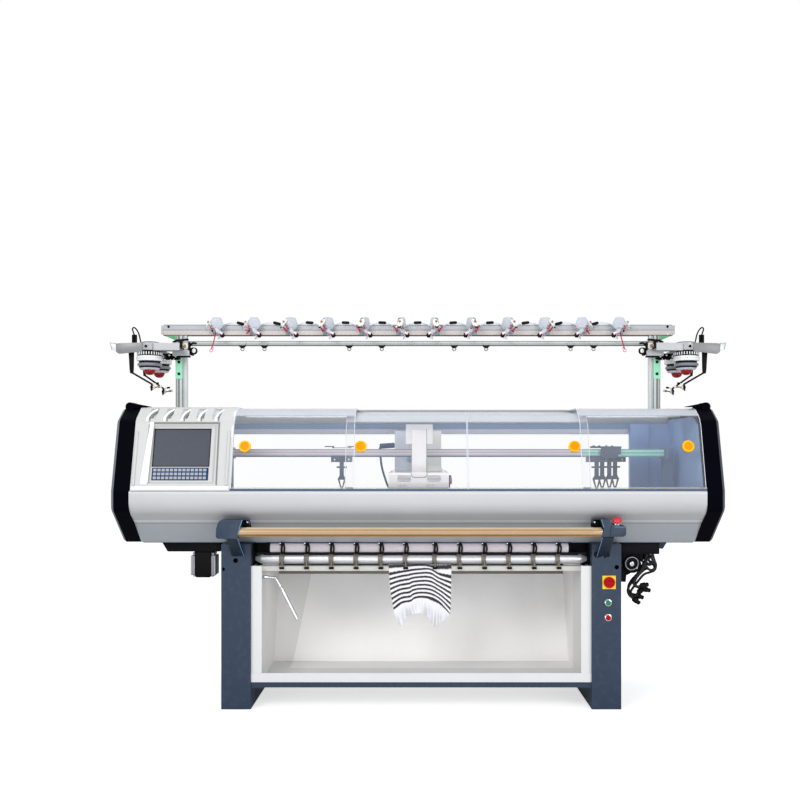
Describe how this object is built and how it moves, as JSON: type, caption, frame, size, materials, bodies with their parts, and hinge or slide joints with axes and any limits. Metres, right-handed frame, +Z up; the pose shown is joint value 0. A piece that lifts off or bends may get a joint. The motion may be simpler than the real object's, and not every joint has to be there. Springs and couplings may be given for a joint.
{
  "type": "flat knitting machine",
  "caption": "Computerised flat knitting machine on a two-leg stand, with clear sliding doors, yarn carriers, take-down rollers, control unit and an overhead yarn stand.",
  "frame": {"origin": "centre of the machine's footprint, on the floor", "axes": "+X along the needle beds to the operator's right, +Y from the operator's side to the back, +Z up"},
  "size_m": [3, 0.8161, 1.822],
  "materials": {
    "dark_blue_paint": "semi-gloss",
    "white_paint": "satin",
    "light_grey_paint": "satin",
    "grey_paint": "satin",
    "steel_blue_paint": "satin",
    "black_cast": "gloss",
    "blue_grey_cover": "satin",
    "moulded_white": "satin",
    "display": "gloss",
    "keypad_blue": "satin",
    "clear_door": "clear",
    "yellow_plastic": "gloss",
    "needle_steel": "brushed",
    "rail_steel": "ground",
    "aluminium": "anodised",
    "gold_aluminium": "gold anodised",
    "chrome": "polished",
    "clip_steel": "spring steel",
    "carrier_black": "black oxide",
    "red_plastic": "gloss",
    "green_plastic": "gloss",
    "yellow_plate": "satin",
    "mint_paint": "satin",
    "motor_black": "satin",
    "knit": "knitted",
    "cable_white": "soft",
    "unit_grey": "satin",
    "arm_red": "gloss",
    "drum_white": "gloss"
  },
  "bodies": {
    "machine": {"leg_left": "dark_blue_paint", "leg_right": "dark_blue_paint", "cross_rails": "dark_blue_paint", "tray_floor": "white_paint", "tray_walls": "white_paint", "bed_beam": "steel_blue_paint", "needle_beds": "needle_steel", "carrier_rails": "rail_steel", "inner_frame": "steel_blue_paint", "front_panel_upper": "light_grey_paint", "front_panel_lower": "grey_paint", "rear_cover": "light_grey_paint", "top_cover": "white_paint", "door_tracks": "aluminium", "end_rims": "black_cast", "end_covers": "blue_grey_cover", "control_housing": "moulded_white", "screen_unit": "display", "keypad": "keypad_blue", "takedown_frame": "white_paint", "takedown_clips": "clip_steel", "knitted_fabric": "knit", "bar_brackets": "dark_blue_paint", "switch_plate": "yellow_plate", "under_drives": "motor_black", "stand_posts": "aluminium", "stand_plates": "mint_paint", "beam_upper": "aluminium", "beam_lower": "aluminium", "tension_units": "unit_grey", "stand_cables": "cable_white", "feeder_mounts": "aluminium"},
    "carriage": {"carriage_front": "moulded_white", "carriage_bridge": "white_paint"},
    "carrier_1": {"carrier_1": "carrier_black"},
    "carrier_2": {"carrier_2": "carrier_black"},
    "carrier_3": {"carrier_3": "carrier_black"},
    "carrier_4": {"carrier_4": "carrier_black"},
    "carrier_5": {"carrier_5": "carrier_black"},
    "door_outer_left": {"door_outer_left": "clear_door", "knob_outer_left": "yellow_plastic"},
    "door_inner_left": {"door_inner_left": "clear_door", "knob_inner_left": "yellow_plastic"},
    "door_inner_right": {"door_inner_right": "clear_door", "knob_inner_right": "yellow_plastic"},
    "door_outer_right": {"door_outer_right": "clear_door", "knob_outer_right": "yellow_plastic"},
    "roller_main": {"roller_main": "aluminium"},
    "roller_upper": {"roller_upper": "white_paint"},
    "drop_lever": {"drop_lever": "chrome"},
    "start_bar": {"start_bar": "gold_aluminium"},
    "emergency_button": {"emergency_button": "red_plastic"},
    "switch_knob": {"switch_knob": "red_plastic"},
    "green_button": {"green_button": "green_plastic"},
    "red_button": {"red_button": "red_plastic"},
    "tension_arms": {"tension_arms": "arm_red"},
    "drum_left_front": {"drum_left_front": "drum_white"},
    "drum_left_rear": {"drum_left_rear": "drum_white"},
    "drum_right_front": {"drum_right_front": "drum_white"},
    "drum_right_rear": {"drum_right_rear": "drum_white"}
  },
  "joints": [
    {"name": "carriage_travel", "type": "slide", "parent": "machine", "child": "carriage", "axis": [1, 0, 0], "range_m": [-0.65, 0.75]},
    {"name": "carrier_1_travel", "type": "slide", "parent": "machine", "child": "carrier_1", "axis": [1, 0, 0], "range_m": [-0.45, 0.45]},
    {"name": "carrier_2_travel", "type": "slide", "parent": "machine", "child": "carrier_2", "axis": [1, 0, 0], "range_m": [-0.6, 0.2]},
    {"name": "carrier_3_travel", "type": "slide", "parent": "machine", "child": "carrier_3", "axis": [1, 0, 0], "range_m": [-1.2, 0.18]},
    {"name": "carrier_4_travel", "type": "slide", "parent": "machine", "child": "carrier_4", "axis": [1, 0, 0], "range_m": [-1.2, 0.15]},
    {"name": "carrier_5_travel", "type": "slide", "parent": "machine", "child": "carrier_5", "axis": [1, 0, 0], "range_m": [-1.2, 0.13]},
    {"name": "door_outer_left_slide", "type": "slide", "parent": "machine", "child": "door_outer_left", "axis": [1, 0, 0], "range_m": [0, 0.48]},
    {"name": "door_inner_left_slide", "type": "slide", "parent": "machine", "child": "door_inner_left", "axis": [1, 0, 0], "range_m": [-0.48, 0]},
    {"name": "door_inner_right_slide", "type": "slide", "parent": "machine", "child": "door_inner_right", "axis": [1, 0, 0], "range_m": [0, 0.48]},
    {"name": "door_outer_right_slide", "type": "slide", "parent": "machine", "child": "door_outer_right", "axis": [1, 0, 0], "range_m": [-0.48, 0]},
    {"name": "roller_main_spin", "type": "hinge", "parent": "machine", "child": "roller_main", "pos_m": [0, -0.2, 0.671], "axis": [1, 0, 0], "continuous": true},
    {"name": "roller_upper_spin", "type": "hinge", "parent": "machine", "child": "roller_upper", "pos_m": [0, -0.2, 0.721], "axis": [1, 0, 0], "continuous": true},
    {"name": "drop_lever_swing", "type": "hinge", "parent": "machine", "child": "drop_lever", "pos_m": [-0.7, -0.225, 0.59], "axis": [1, 0, 0], "range_deg": [-25, 25]},
    {"name": "start_bar_turn", "type": "hinge", "parent": "machine", "child": "start_bar", "pos_m": [0, -0.39, 0.81], "axis": [1, 0, 0], "range_deg": [-20, 20], "stiffness_Nm_per_rad": 12},
    {"name": "emergency_press", "type": "slide", "parent": "machine", "child": "emergency_button", "axis": [0, -0.576, 0.8175], "range_m": [-0.005, 0], "stiffness_N_per_m": 1500, "springref_m": 0.001},
    {"name": "main_switch_turn", "type": "hinge", "parent": "machine", "child": "switch_knob", "pos_m": [0.862, -0.29, 0.574], "axis": [0, 1, 0], "range_deg": [0, 90]},
    {"name": "green_press", "type": "slide", "parent": "machine", "child": "green_button", "axis": [0, 1, 0], "range_m": [0, 0.004], "stiffness_N_per_m": 800, "springref_m": -0.001},
    {"name": "red_press", "type": "slide", "parent": "machine", "child": "red_button", "axis": [0, 1, 0], "range_m": [0, 0.004], "stiffness_N_per_m": 800, "springref_m": -0.001},
    {"name": "tension_arms_swing", "type": "hinge", "parent": "machine", "child": "tension_arms", "pos_m": [0, 0.074, 1.754], "axis": [1, 0, 0], "range_deg": [-35, 10], "stiffness_Nm_per_rad": 3},
    {"name": "drum_left_front_spin", "type": "hinge", "parent": "machine", "child": "drum_left_front", "pos_m": [-1.295, 0.02, 1.6], "axis": [0, 0, 1], "continuous": true},
    {"name": "drum_left_rear_spin", "type": "hinge", "parent": "machine", "child": "drum_left_rear", "pos_m": [-1.295, 0.19, 1.6], "axis": [0, 0, 1], "continuous": true},
    {"name": "drum_right_front_spin", "type": "hinge", "parent": "machine", "child": "drum_right_front", "pos_m": [1.295, 0.02, 1.6], "axis": [0, 0, 1], "continuous": true},
    {"name": "drum_right_rear_spin", "type": "hinge", "parent": "machine", "child": "drum_right_rear", "pos_m": [1.295, 0.19, 1.6], "axis": [0, 0, 1], "continuous": true}
  ],
  "couplings": [
    {"joint": "roller_upper_spin", "follows": "roller_main_spin", "ratio": -1}
  ]
}
